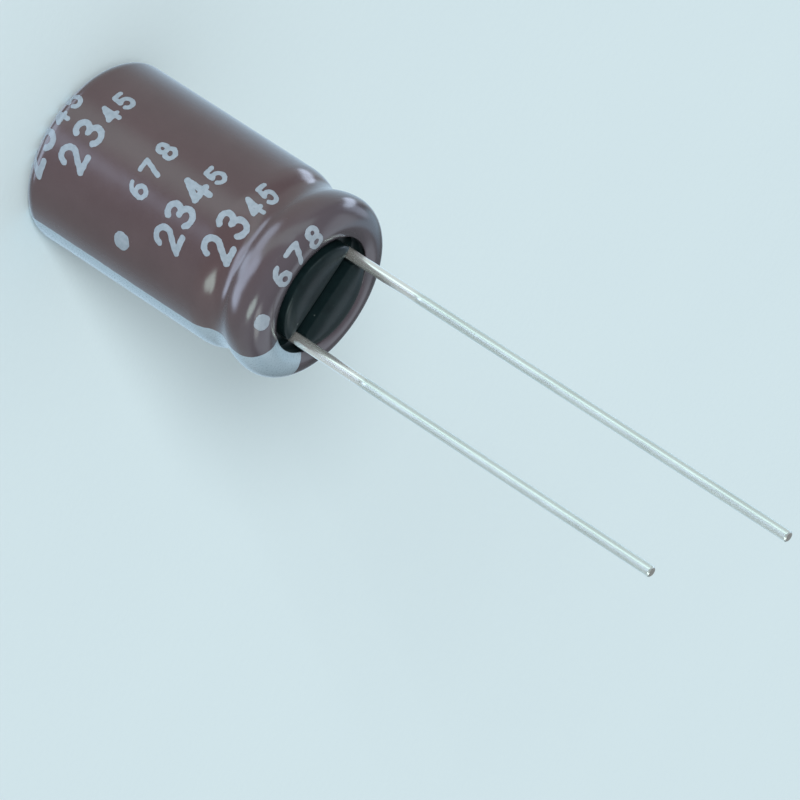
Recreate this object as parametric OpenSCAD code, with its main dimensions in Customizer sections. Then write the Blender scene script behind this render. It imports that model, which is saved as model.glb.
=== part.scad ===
// Radial electrolytic capacitor, standing on its closed end with the leads up.
// The stripe's side and the short lead are at +X, the long lead at -X.

/* [Can] */
// Outer diameter of the bare can
can_d = 10; // [9.6:0.1:11]
// Thickness of the can's wall and base
can_wall = 0.28; // [0.2:0.02:0.34]
// Outer radius of the closed end's rim
rim_r = 0.7; // [0.5:0.05:1]
// Length of each arm of the vent score in the closed end
vent_len = 4.8; // [3:0.1:5.6]
// Depth of the vent score
vent_depth = 0.12; // [0.06:0.01:0.16]

/* [Bead and lip] */
// Height at which the wall starts to turn in to the bead
shoulder_z = 11.55; // [11:0.05:11.8]
// Radius of the shoulder below the bead
shoulder_r = 2.1; // [1.8:0.05:2.3]
// Radius in the bottom of the bead groove
bead_r = 0.35; // [0.3:0.05:0.6]
// Height of the lip's widest place
lip_z = 14.8; // [14.6:0.05:15.2]
// Radius of the wall between the bead and the lip
lip_foot_r = 2.4; // [2:0.05:2.6]
// Radius of the curled lip
lip_r = 1.1; // [0.9:0.05:1.2]
// Angle at which the can's curled edge ends, from straight out
lip_end = 104; // [95:1:110]

/* [Sleeve] */
// Thickness of the shrunk sleeve
sleeve_t = 0.1; // [0.06:0.01:0.14]
// Radius at which the sleeve bridges the bead groove
sleeve_bead_r = 0.8; // [0.65:0.05:0.9]
// Angle at which the sleeve's edge ends on the lip, from straight out
sleeve_end = 121; // [114:1:124]
// Diameter of the bare disc that the sleeve leaves on the closed end
bare_d = 7.2; // [6.4:0.1:8]

/* [Rubber bung] */
// Thickness of the bung between its inner and outer faces
bung_t = 3.35; // [3:0.05:3.6]
// How far the outer face lies below the top of the can's lip
face_drop = 0.55; // [0.4:0.05:0.8]
// Diameter of the flat outer face, inside the rubber rim that the lip pinches up
face_d = 6.7; // [6.4:0.05:7]
// How far the stand-off pads rise above the top of the can's lip
pad_rise = 0.5; // [0.3:0.05:0.8]
// Diameter round both half-moon pads
pad_d = 5.84; // [5.6:0.02:6.1]
// Height of the rounding of the pads' outer edge
pad_round = 0.42; // [0.2:0.02:0.6]
// Width of that rounding, in from the outer edge
pad_round_w = 1.05; // [0.4:0.05:1.2]
// Rounding of the pads' edge along the channel
channel_round = 0.16; // [0.08:0.02:0.25]
// Width of the channel between the pads
channel_w = 1.4; // [1.2:0.05:1.6]
// Diameter of the pocket round each lead
pocket_d = 1.5; // [1.3:0.05:1.6]
// Depth of the pocket below the outer face
pocket_depth = 0.3; // [0.1:0.05:0.4]

/* [Leads] */
// Distance between the leads
lead_pitch = 5; // [4.6:0.1:5.2]
// Diameter of the tinned wire
wire_d = 0.6; // [0.5:0.05:0.7]
// Length of the long lead beyond the pads
long_lead_len = 27.9; // [20:0.1:34]
// Length of the short lead beyond the pads
short_lead_len = 22.9; // [16:0.1:30]
// Depth of the weld between a lead and its tab, below the pocket's floor
weld_depth = 0.65; // [0.4:0.05:0.9]
// Distance from the pads to the mark that the gripping jaws left round each lead
grip_rise = 4.2; // [3:0.1:6]
// Width of the grip mark
grip_w = 0.55; // [0.5:0.05:0.8]
// Depth of the grip mark
grip_depth = 0.03; // [0.01:0.01:0.04]
// Chamfer of the cut wire ends
cut_chamfer = 0.06; // [0.02:0.01:0.1]

/* [Tabs] */
// Diameter of a tab's round shank
shank_d = 1.3; // [1.1:0.05:1.4]
// Thickness of a tab's flat paddle
paddle_t = 0.2; // [0.12:0.02:0.24]
// Width of a tab's flat paddle
paddle_w = 1.3; // [1:0.05:1.4]
// Height of the paddles' lower ends
paddle_z = 2.2; // [1.6:0.1:4]
// Length over which a shank is pressed flat
press_len = 0.7; // [0.5:0.05:0.9]

/* [Winding] */
// Radius of the hole that the winding pin leaves
core_r = 0.8; // [0.6:0.05:0.9]
// Thickness of the anode foil
anode_t = 0.11; // [0.08:0.01:0.12]
// Thickness of the cathode foil
cathode_t = 0.05; // [0.03:0.01:0.06]
// Thickness of each separator paper
paper_t = 0.06; // [0.04:0.01:0.07]
// Thickness of the tape that closes the roll
tape_t = 0.06; // [0.04:0.01:0.08]
// Distance between the papers' upper edge and the pressed part of the shanks
head_gap = 0.6; // [0.3:0.05:1]
// How far the papers reach past the foils at each end
paper_margin = 0.5; // [0.3:0.05:0.8]
// How far the closing tape stays from the papers' edges
tape_margin = 1.6; // [1:0.1:2.5]

/* [Fits] */
// Clearance between pieces that seat on each other
fit_gap = 0.01; // [0.005:0.005:0.02]
// Clearance between neighbouring layers of the roll
layer_gap = 0.012; // [0.008:0.002:0.016]
// Least clearance between the finished roll and the can's wall
roll_gap = 0.2; // [0.1:0.05:0.4]

/* [Hidden] */
$fn = 64;
arc_steps = 9;
cut_over = 1;
slice_h = 0.02;

can_r = can_d / 2;
base_z = sleeve_t + fit_gap;
floor_z = base_z + can_wall;
lead_x = lead_pitch / 2;
wire_r = wire_d / 2;
shank_r = shank_d / 2;

// Heights that follow the top of the can's lip
lip_top_z = lip_z + lip_r;
face_z = lip_top_z - face_drop;
pad_z = lip_top_z + pad_rise;
pocket_z = face_z - pocket_depth;
weld_z = pocket_z - weld_depth;
grip_z = pad_z + grip_rise;
bung_z = face_z - bung_t;
press_z = bung_z - press_len;

// Centres of the wall's outward arcs, as [radius, height]
rim_c = [can_r - rim_r, base_z + rim_r];
shoulder_c = [can_r - shoulder_r, shoulder_z];
lip_foot_c = [can_r - lip_foot_r, lip_z];
lip_c = [can_r - lip_r, lip_z];

// The roll stands on the floor, or on the rim's inner curve where its largest radius meets that
roll_r = can_r - can_wall - roll_gap;
rim_inner_r = rim_r - can_wall;
roll_over = max(0, roll_r - rim_c.x);
roll_foot_z = rim_c.y - sqrt(max(0, rim_inner_r * rim_inner_r - roll_over * roll_over));

// Lower and upper edges of the papers
paper_base_z = roll_foot_z + fit_gap;
paper_top_z = press_z - head_gap;

// The roll is a spiral with one corner every turn_step degrees, in four layers
turn_step = 20;
turn_pitch = anode_t + cathode_t + 2 * paper_t + 4 * layer_gap;
anode_at = 0;
inner_at = anode_at + anode_t + layer_gap;
cathode_at = inner_at + paper_t + layer_gap;
outer_at = cathode_at + cathode_t + layer_gap;
anode_start = 200;
cathode_start = 100;

// The roll bulges over a paddle by its thickness, by what its flat width cuts off the corner,
// and by what the spiral grows there in one step
paddle_bulge = paddle_t + paddle_w / 2 * tan(turn_step / 2) + turn_pitch * turn_step / 360 + layer_gap;
bulge_flat = turn_step;
bulge_edge = 3 * turn_step;

// Full turns of the papers that fit in the can, with the tape round them
roll_room = roll_r - tape_t - paddle_bulge - core_r;
paper_turns = floor(roll_room / turn_pitch) - 1;
roll_end = 360 * paper_turns;
anode_end = roll_end - 200;
cathode_end = roll_end - 100;
tape_start = roll_end - 340;
tape_end = roll_end + 60;

// Total angle at which each foil passes its lead, and the inner face of the paddle on it
anode_tab_a = 180 + 360 * round((lead_x - core_r - anode_at - anode_t - paddle_t / 2) / turn_pitch - 0.5);
cathode_tab_a = 360 * round((lead_x - core_r - cathode_at - cathode_t - paddle_t / 2) / turn_pitch);
anode_paddle_r = layer_r(anode_tab_a, anode_at) + anode_t + layer_gap;
cathode_paddle_r = layer_r(cathode_tab_a, cathode_at) + cathode_t + layer_gap;

// Points of an arc round centre c
function arc_points(c, r, a0, a1) =
    [for (i = [0:arc_steps]) let (a = a0 + (a1 - a0) * i / arc_steps) [c.x + r * cos(a), c.y + r * sin(a)]];

// Outward centre at distance ra from c1 and rb from c2
function tangent_centre(c1, ra, c2, rb) =
    let (
        span = norm(c2 - c1),
        along = (ra * ra - rb * rb + span * span) / (2 * span),
        away = sqrt(ra * ra - along * along),
        u = (c2 - c1) / span
    )
    [c1.x + along * u.x + away * u.y, c1.y + along * u.y - away * u.x];

// The wall's section, d outside the can's surface, from the closed end's rim to the lip's edge.
// groove_r is the radius in the bottom of the bead groove.
function wall_path(d, groove_r, end_a) =
    let (
        groove_c = tangent_centre(shoulder_c, shoulder_r + groove_r, lip_foot_c, lip_foot_r + groove_r),
        to_groove = groove_c - shoulder_c,
        from_groove = groove_c - lip_foot_c,
        a_low = atan2(to_groove.y, to_groove.x),
        a_high = atan2(from_groove.y, from_groove.x)
    )
    concat(
        arc_points(rim_c, rim_r + d, -90, 0),
        arc_points(shoulder_c, shoulder_r + d, 0, a_low),
        arc_points(groove_c, groove_r - d, a_low + 180, a_high + 180),
        arc_points(lip_foot_c, lip_foot_r + d, a_high, 0),
        arc_points(lip_c, lip_r + d, 0, end_a)
    );

function reversed(list) = [for (i = [len(list) - 1:-1:0]) list[i]];

// Angle from a to the nearest pass of a tab, and whether the layer at offset at lies outside the tab there
function tab_angle(a, tab_a) = abs((a - tab_a) - 360 * round((a - tab_a) / 360));
function outside_tab(a, at, tab_a, foil_at) =
    round((a - tab_a) / 360) > 0 || (round((a - tab_a) / 360) == 0 && at > foil_at);
function bulge_share(angle) =
    angle <= bulge_flat ? 1 : angle >= bulge_edge ? 0 : (bulge_edge - angle) / (bulge_edge - bulge_flat);
function bulge(a, at, tab_a, foil_at) =
    outside_tab(a, at, tab_a, foil_at) ? paddle_bulge * bulge_share(tab_angle(a, tab_a)) : 0;

// Inner radius of the layer at offset at, after a degrees of winding
function layer_r(a, at) =
    core_r + at + turn_pitch * a / 360
    + bulge(a, at, anode_tab_a, anode_at)
    + bulge(a, at, cathode_tab_a, cathode_at);

// The closing tape lies on the papers, and past their end on its own start
function tape_r(a) =
    a <= roll_end ? layer_r(a, turn_pitch) : layer_r(a - 360, turn_pitch) + tape_t + layer_gap;

function strip_points(a0, a1, radii, t) =
    let (angles = [for (a = [a0:turn_step:a1]) a])
    concat(
        [for (i = [0:len(angles) - 1]) (radii[i] + t) * [cos(angles[i]), sin(angles[i])]],
        reversed([for (i = [0:len(angles) - 1]) radii[i] * [cos(angles[i]), sin(angles[i])]])
    );

module strip(a0, a1, radii, t, z0, z1)
    translate([0, 0, z0])
        linear_extrude(z1 - z0)
            polygon(strip_points(a0, a1, radii, t));

module wound_layer(a0, a1, at, t, z0, z1)
    strip(a0, a1, [for (a = [a0:turn_step:a1]) layer_r(a, at)], t, z0, z1);

module sleeve()
    color([0.34, 0.27, 0.29])
        rotate_extrude()
            polygon(concat(
                [[bare_d / 2, base_z - fit_gap - sleeve_t]],
                wall_path(fit_gap + sleeve_t, sleeve_bead_r, sleeve_end),
                reversed(wall_path(fit_gap, sleeve_bead_r, sleeve_end)),
                [[bare_d / 2, base_z - fit_gap]]
            ));

// Two crossed V-shaped scores, as wide each side of the line as they are deep
module vent_score()
    for (a = [45, 135])
        rotate([90, 0, a])
            linear_extrude(vent_len, center = true)
                polygon([
                    [-vent_depth, base_z],
                    [0, base_z + vent_depth],
                    [vent_depth, base_z],
                    [0, base_z - vent_depth]
                ]);

module can()
    color([0.78, 0.79, 0.8])
        difference() {
            rotate_extrude()
                polygon(concat(
                    [[0, base_z]],
                    wall_path(0, bead_r, lip_end),
                    reversed(wall_path(-can_wall, bead_r, lip_end)),
                    [[0, floor_z]]
                ));
            vent_score();
        }

// The rubber fills the can's mouth from the inner face to the curled edge
module bung_body()
    rotate_extrude()
        intersection() {
            translate([0, bung_z])
                square([can_r, pad_z - bung_z]);
            polygon(concat(
                [[0, floor_z]],
                wall_path(-can_wall - fit_gap, bead_r, lip_end),
                [[face_d / 2, face_z]],
                [[0, face_z]]
            ));
        }

module round_pads()
    rotate_extrude()
        polygon(concat(
            [[0, bung_z]],
            [[pad_d / 2, bung_z]],
            [for (p = arc_points([0, 0], 1, 0, 90)) [
                pad_d / 2 + pad_round_w * (p.x - 1),
                pad_z + pad_round * (p.y - 1)
            ]],
            [[0, pad_z]]
        ));

// The channel with its edges eased outwards at the top
module channel()
    rotate([90, 0, 90])
        translate([0, 0, -pad_d])
            linear_extrude(2 * pad_d)
                polygon([
                    [-channel_w / 2, face_z],
                    [channel_w / 2, face_z],
                    [channel_w / 2, pad_z - channel_round],
                    [channel_w / 2 + channel_round, pad_z],
                    [channel_w / 2 + channel_round, pad_z + cut_over],
                    [-channel_w / 2 - channel_round, pad_z + cut_over],
                    [-channel_w / 2 - channel_round, pad_z],
                    [-channel_w / 2, pad_z - channel_round]
                ]);

module lead_hole(x)
    translate([x, 0, 0]) {
        translate([0, 0, bung_z - cut_over])
            cylinder(r = shank_r + fit_gap, h = weld_z - bung_z + cut_over);
        translate([0, 0, bung_z])
            cylinder(r = wire_r + fit_gap, h = pad_z - bung_z);
        translate([0, 0, pocket_z])
            cylinder(d = pocket_d, h = pad_z - pocket_z + cut_over);
    }

module bung()
    color([0.13, 0.15, 0.15])
        difference() {
            union() {
                bung_body();
                difference() {
                    round_pads();
                    channel();
                }
            }
            lead_hole(-lead_x);
            lead_hole(lead_x);
        }

module lead(x, end_z)
    color([0.8, 0.82, 0.83])
        translate([x, 0, 0])
            rotate_extrude()
                polygon([
                    [0, weld_z],
                    [wire_r, weld_z],
                    [wire_r, grip_z - grip_w / 2],
                    [wire_r - grip_depth, grip_z],
                    [wire_r, grip_z + grip_w / 2],
                    [wire_r, end_z - cut_chamfer],
                    [wire_r - cut_chamfer, end_z],
                    [0, end_z]
                ]);

module anode_lead()
    lead(-lead_x, pad_z + long_lead_len);

module cathode_lead()
    lead(lead_x, pad_z + short_lead_len);

// A round shank pressed flat below the bung; paddle_r is the radius of the paddle's inner face
module tab(side, paddle_r)
    color([0.74, 0.75, 0.77]) {
        translate([side * lead_x, 0, bung_z])
            cylinder(r = shank_r, h = weld_z - bung_z);
        hull() {
            translate([side * lead_x, 0, bung_z - slice_h])
                cylinder(r = shank_r, h = slice_h, $fn = 32);
            paddle(side, paddle_r, press_z, slice_h);
        }
        paddle(side, paddle_r, paddle_z, press_z - paddle_z);
    }

module paddle(side, paddle_r, z, h)
    translate([side * (paddle_r + paddle_t / 2), 0, z + h / 2])
        cube([paddle_t, paddle_w, h], center = true);

module anode_tab()
    tab(-1, anode_paddle_r);

module cathode_tab()
    tab(1, cathode_paddle_r);

module anode_foil()
    color([0.55, 0.56, 0.58])
        wound_layer(anode_start, anode_end, anode_at, anode_t,
            paper_base_z + paper_margin, paper_top_z - paper_margin);

module cathode_foil()
    color([0.7, 0.71, 0.73])
        wound_layer(cathode_start, cathode_end, cathode_at, cathode_t,
            paper_base_z + paper_margin, paper_top_z - paper_margin);

module inner_paper()
    color([0.86, 0.8, 0.66])
        wound_layer(0, roll_end, inner_at, paper_t, paper_base_z, paper_top_z);

module outer_paper()
    color([0.82, 0.75, 0.6])
        wound_layer(0, roll_end, outer_at, paper_t, paper_base_z, paper_top_z);

module winding_tape()
    color([0.85, 0.78, 0.5])
        strip(tape_start, tape_end, [for (a = [tape_start:turn_step:tape_end]) tape_r(a)], tape_t,
            paper_base_z + tape_margin, paper_top_z - tape_margin);

sleeve();
can();
bung();
anode_lead();
cathode_lead();
anode_tab();
cathode_tab();
anode_foil();
cathode_foil();
inner_paper();
outer_paper();
winding_tape();
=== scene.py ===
import bmesh
import bpy
import math
import numpy as np
from mathutils import Matrix, Vector


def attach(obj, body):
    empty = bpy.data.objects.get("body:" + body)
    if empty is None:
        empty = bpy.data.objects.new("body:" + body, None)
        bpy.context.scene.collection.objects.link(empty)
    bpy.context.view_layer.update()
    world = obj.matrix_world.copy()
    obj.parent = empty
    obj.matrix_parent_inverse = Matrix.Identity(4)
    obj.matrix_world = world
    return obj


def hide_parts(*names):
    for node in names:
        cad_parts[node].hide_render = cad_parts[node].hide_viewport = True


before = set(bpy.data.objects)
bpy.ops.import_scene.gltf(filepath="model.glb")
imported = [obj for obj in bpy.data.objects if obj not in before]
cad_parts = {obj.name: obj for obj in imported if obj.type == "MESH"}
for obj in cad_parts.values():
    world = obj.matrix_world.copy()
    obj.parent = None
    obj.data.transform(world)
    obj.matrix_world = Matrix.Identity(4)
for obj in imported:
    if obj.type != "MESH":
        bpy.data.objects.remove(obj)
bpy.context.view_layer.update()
mm = 0.001
print("frame loaded:", len(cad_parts), "solids")


# Node helpers

class Wire:
    # one output of a node tree, with arithmetic that adds Math nodes
    def __init__(self, graph, socket):
        self.graph = graph
        self.socket = socket

    def calc(self, operation, *others):
        return self.graph.calc(operation, self, *others)

    def __add__(self, other):
        return self.calc("ADD", other)

    def __sub__(self, other):
        return self.calc("SUBTRACT", other)

    def __rsub__(self, other):
        return self.graph.calc("SUBTRACT", other, self)

    def __mul__(self, other):
        return self.calc("MULTIPLY", other)

    def __truediv__(self, other):
        return self.calc("DIVIDE", other)


class Graph:
    # a node tree being built, whose nodes are set out in rows as they are added
    def __init__(self, tree):
        self.tree = tree
        self.count = 0

    def node(self, kind, settings=None, inputs=None):
        node = self.tree.nodes.new(kind)
        node.location = (190 * (self.count % 12), -230 * (self.count // 12))
        self.count += 1
        for name, value in (settings or {}).items():
            setattr(node, name, value)
        for key, value in (inputs or {}).items():
            if isinstance(value, Wire):
                self.tree.links.new(value.socket, node.inputs[key])
            else:
                node.inputs[key].default_value = value
        return node

    def add(self, kind, settings=None, inputs=None, out=0):
        return Wire(self, self.node(kind, settings, inputs).outputs[out])

    def calc(self, operation, *values):
        return self.add("ShaderNodeMath", {"operation": operation}, dict(enumerate(values)))

    def vector(self, operation, *values, out=0):
        return self.add("ShaderNodeVectorMath", {"operation": operation}, dict(enumerate(values)), out)

    def joinXyz(self, x, y, z):
        return self.add("ShaderNodeCombineXYZ", inputs={0: x, 1: y, 2: z})

    def splitXyz(self, vector):
        node = self.node("ShaderNodeSeparateXYZ", inputs={0: vector})
        return [Wire(self, output) for output in node.outputs]

    def stretch(self, place, x, y, z):
        return self.vector("MULTIPLY", place, (x, y, z))

    def ramp(self, value, low, high, toLow=0.0, toHigh=1.0):
        return self.add("ShaderNodeMapRange", {"interpolation_type": "SMOOTHSTEP"},
                        {"Value": value, 1: low, 2: high, 3: toLow, 4: toHigh})

    def mixColour(self, share, first, second):
        return self.add("ShaderNodeMix", {"data_type": "RGBA"}, {0: share, 6: first, 7: second}, 2)

    def noise(self, place, scale, detail=3.0, roughness=0.5):
        return self.add("ShaderNodeTexNoise", inputs={
            "Vector": place, "Scale": scale, "Detail": detail, "Roughness": roughness})


def colour(red, green, blue):
    # from the usual 0 to 255 values
    linear = [((c / 255 + 0.055) / 1.055) ** 2.4 if c > 10 else c / 255 / 12.92 for c in (red, green, blue)]
    return (*linear, 1.0)


def shaped(name, build, **constants):
    # build gives base colour, roughness, bump height and bump depth in mm; constants go on the shader's sockets
    material = bpy.data.materials.new(name)
    material.use_nodes = True
    tree = material.node_tree
    tree.nodes.clear()
    graph = Graph(tree)
    place = Wire(graph, graph.node("ShaderNodeTexCoord").outputs["Object"])
    base, roughness, height, depth = build(graph, place)
    bump = graph.add("ShaderNodeBump", inputs={"Height": height, "Distance": depth * mm, "Strength": 1.0})
    shader = graph.add("ShaderNodeBsdfPrincipled", inputs={
        "Base Color": base, "Roughness": roughness, "Normal": bump, **constants})
    graph.node("ShaderNodeOutputMaterial", inputs={0: shader})
    return material


def geometryTree(name, fields):
    # an empty Geometry Nodes tree with a geometry input, named inputs and a geometry output
    tree = bpy.data.node_groups.new(name, "GeometryNodeTree")
    tree.interface.new_socket("Geometry", in_out="INPUT", socket_type="NodeSocketGeometry")
    for label, kind in fields.items():
        tree.interface.new_socket(label, in_out="INPUT", socket_type="NodeSocket" + kind)
    tree.interface.new_socket("Geometry", in_out="OUTPUT", socket_type="NodeSocketGeometry")
    graph = Graph(tree)
    entry = graph.node("NodeGroupInput")
    return graph, {output.name: Wire(graph, output) for output in entry.outputs if output.name}


def pushAlong(graph, geometry, direction, distance):
    push = graph.add("ShaderNodeVectorMath", {"operation": "SCALE"}, {0: direction, 3: distance})
    return graph.add("GeometryNodeSetPosition", inputs={"Geometry": geometry, "Offset": push})


def finishTree(graph, geometry, material):
    solid = graph.add("GeometryNodeSetShadeSmooth", inputs={"Geometry": geometry})
    real = graph.add("GeometryNodeRealizeInstances", inputs={"Geometry": solid})
    coated = graph.add("GeometryNodeSetMaterial", inputs={"Geometry": real, "Material": material})
    graph.node("NodeGroupOutput", inputs={0: coated})
    return graph.tree


def newObject(name, mesh):
    piece = bpy.data.objects.new(name, mesh)
    bpy.context.scene.collection.objects.link(piece)
    return piece


def growMesh(name, source, tree, values):
    # the tree's result on the source mesh, as a plain mesh object
    modifier = source.modifiers.new(tree.name, "NODES")
    modifier.node_group = tree
    sockets = {item.name: item.identifier for item in tree.interface.items_tree if item.in_out == "INPUT"}
    for label, value in values.items():
        modifier[sockets[label]] = value
    source.update_tag()
    bpy.context.view_layer.update()
    evaluated = source.evaluated_get(bpy.context.evaluated_depsgraph_get())
    mesh = bpy.data.meshes.new_from_object(evaluated)
    mesh.name = name
    source.modifiers.remove(modifier)
    bpy.data.objects.remove(source)
    return newObject(name, mesh)


def polyline(name, points, closed):
    count = len(points)
    edges = [(i, (i + 1) % count) for i in range(count if closed else count - 1)]
    mesh = bpy.data.meshes.new(name)
    mesh.from_pydata([tuple(p) for p in points], edges, [])
    return newObject(name, mesh)


# Section of the can's wall, in millimetres as (radius, height)

wall = {
    "rim": (4.3, 0.81), "rimRadius": 0.7, "straightRows": 40,
    "shoulder": (2.9, 11.55), "shoulderRadius": 2.1,
    "foot": (2.6, 14.8), "footRadius": 2.4,
    "lip": (3.9, 14.8), "lipRadius": 1.1,
    "grooveRadius": 1.4, "arcSteps": 26,
}


def arc(centre, radius, start, end, steps):
    angles = np.radians(np.linspace(start, end, steps + 1))
    return [(centre[0] + radius * math.cos(a), centre[1] + radius * math.sin(a)) for a in angles]


def wallSection(outward, grooveRadius, endAngle):
    # rim, straight wall, shoulder, groove and lip as one tangent line, offset outward from the can's surface
    shoulder, foot = np.array(wall["shoulder"]), np.array(wall["foot"])
    near, far = wall["shoulderRadius"] + grooveRadius, wall["footRadius"] + grooveRadius
    span = np.linalg.norm(foot - shoulder)
    along = (near ** 2 - far ** 2 + span ** 2) / (2 * span)
    away = math.sqrt(near ** 2 - along ** 2)
    unit = (foot - shoulder) / span
    groove = shoulder + unit * along + np.array([unit[1], -unit[0]]) * away
    low = math.degrees(math.atan2(*(groove - shoulder)[::-1]))
    high = math.degrees(math.atan2(*(groove - foot)[::-1]))
    steps, rows = wall["arcSteps"], wall["straightRows"]
    points = arc(wall["rim"], wall["rimRadius"] + outward, -90, 0, steps)
    radius = wall["rim"][0] + wall["rimRadius"] + outward
    bottom, top = wall["rim"][1], wall["shoulder"][1]
    points += [(radius, bottom + (top - bottom) * i / rows) for i in range(1, rows)]
    points += arc(shoulder, wall["shoulderRadius"] + outward, 0, low, steps)
    points += arc(groove, grooveRadius - outward, low + 180, high + 180, steps)[1:]
    points += arc(foot, wall["footRadius"] + outward, high, 0, steps)[1:]
    points += arc(wall["lip"], wall["lipRadius"] + outward, 0, endAngle, steps)[1:]
    return points


# Shrunk vinyl sleeve with its stripe

sleeve = {
    "inside": 0.01, "thickness": 0.1, "endAngle": 118.5, "bareRadius": 3.6,
    "segments": 256, "middleRadius": 4.5, "ripple": 0.006, "rippleScale": 430.0,
    "dark": colour(73, 57, 59), "light": colour(81, 65, 67),
    # painted sheen over the lip: a paler, bluer tone, the heights over which it fades in, and its share
    "lipSheen": colour(73, 70, 78), "lipSheenFrom": 14.0, "lipSheenTo": 15.8, "lipSheenShare": 0.7,
    "pale": colour(143, 166, 180), "paleLight": colour(157, 179, 191),
    # the stripe's sizes are in degrees round the axis
    "stripeCentre": 2.0, "stripeHalf": 25.0, "stripeBlur": 0.25, "fineWobble": 1.2, "slowWobble": 1.6,
    # three minus bars run up the stripe
    "barPitch": 3.4, "barFirst": 2.6, "barHalfLength": 0.6, "barHalfWidth": 0.22, "barMiddle": 0.18,
    "barsFrom": 1.5, "barsTo": 10.8, "barBlur": 0.02, "barWobble": 0.06,
    "roughness": (0.17, 0.24), "scuffRoughness": 0.12, "stripeRoughness": 0.08,
    "dimples": 0.7, "grainBump": 0.1, "stripeStep": 0.4, "bumpDepth": 0.008,
}


def roundTip(outer, inner, steps=6):
    # half a turn of rounding from the outer to the inner point of a cut edge
    outer, inner = np.array(outer), np.array(inner)
    middle, arm = (outer + inner) / 2, (outer - inner) / 2
    ahead = np.array([-arm[1], arm[0]])
    turns = np.linspace(0, math.pi, steps + 1)[1:-1]
    return [tuple(middle + arm * math.cos(a) + ahead * math.sin(a)) for a in turns]


def sleeveLine(outward, startHeight):
    line = wallSection(outward, wall["grooveRadius"], sleeve["endAngle"])
    return [(sleeve["bareRadius"], startHeight)] + line


def sleeveOuterLine():
    return sleeveLine(sleeve["inside"] + sleeve["thickness"], 0.0)


def sleeveSection():
    outer, inner = sleeveOuterLine(), sleeveLine(sleeve["inside"], sleeve["thickness"])
    return outer + roundTip(outer[-1], inner[-1]) + inner[::-1] + roundTip(inner[0], outer[0])


def addRipple(graph, geometry, amount, scale):
    # a faint waviness along the outward direction from the axis, the same for the sleeve and its print
    place = graph.add("GeometryNodeInputPosition")
    x, y, z = graph.splitXyz(place)
    outward = graph.vector("NORMALIZE", graph.joinXyz(x, y, 0.0))
    wave = graph.noise(place, scale, detail=1.0) - 0.5
    return pushAlong(graph, geometry, outward, wave * amount * 2)


def latheTree(name, material):
    # turns a section polyline, drawn in X and Z, round the Z axis
    graph, given = geometryTree(name, {"Segments": "Int", "Middle radius": "Float", "Ripple": "Float",
                                       "Ripple scale": "Float"})
    x, y, z = graph.splitXyz(graph.add("GeometryNodeInputPosition"))
    section = graph.add("GeometryNodeSetPosition", inputs={
        "Geometry": given["Geometry"], "Position": graph.joinXyz(x - given["Middle radius"], z * -1.0, 0.0)})
    section = graph.add("GeometryNodeMeshToCurve", inputs={0: section})
    ring = graph.add("GeometryNodeCurvePrimitiveCircle", inputs={
        "Resolution": given["Segments"], "Radius": given["Middle radius"]})
    shell = graph.add("GeometryNodeCurveToMesh", inputs={0: ring, 1: section})
    shell = addRipple(graph, shell, given["Ripple"], given["Ripple scale"])
    return finishTree(graph, shell, material)


def barShare(graph, place):
    # 1 on the three minus bars of the stripe, with a slightly uneven edge
    x, y, z = graph.splitXyz(place)
    pitch, blur = sleeve["barPitch"] * mm, sleeve["barBlur"] * mm
    row = (z - (sleeve["barFirst"] - sleeve["barPitch"] / 2) * mm).calc("FLOORED_MODULO", pitch) - pitch / 2
    side = (y - sleeve["barMiddle"] * mm).calc("ABSOLUTE") - sleeve["barHalfLength"] * mm
    side = side.calc("MAXIMUM", 0.0)
    uneven = (graph.noise(place, 3200.0, detail=2.0) - 0.5) * (sleeve["barWobble"] * mm)
    reach = (row * row + side * side).calc("SQRT") + uneven
    half = sleeve["barHalfWidth"] * mm
    bar = graph.ramp(reach, half - blur, half + blur, 1.0, 0.0)
    low = graph.ramp(z, sleeve["barsFrom"] * mm, sleeve["barsFrom"] * mm + blur)
    high = graph.ramp(z, sleeve["barsTo"] * mm, sleeve["barsTo"] * mm + blur, 1.0, 0.0)
    front = graph.ramp(x, 0.0, 0.1 * mm)
    return bar * low * high * front


def stripeShare(graph, place):
    # 1 on the pale stripe, 0 on the plum vinyl and the minus bars, with a slightly uneven printed edge
    x, y, z = graph.splitXyz(place)
    wobble = (graph.noise(place, 2600.0, detail=2.0) - 0.5) * sleeve["fineWobble"]
    wobble += (graph.noise(place, 380.0, detail=1.0) - 0.5) * sleeve["slowWobble"]
    angle = graph.calc("ARCTAN2", y, x) * (180 / math.pi) + wobble - sleeve["stripeCentre"]
    half, blur = sleeve["stripeHalf"], sleeve["stripeBlur"]
    band = graph.ramp(angle.calc("ABSOLUTE"), half - blur, half + blur, 1.0, 0.0)
    return band * (1.0 - barShare(graph, place))


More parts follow.
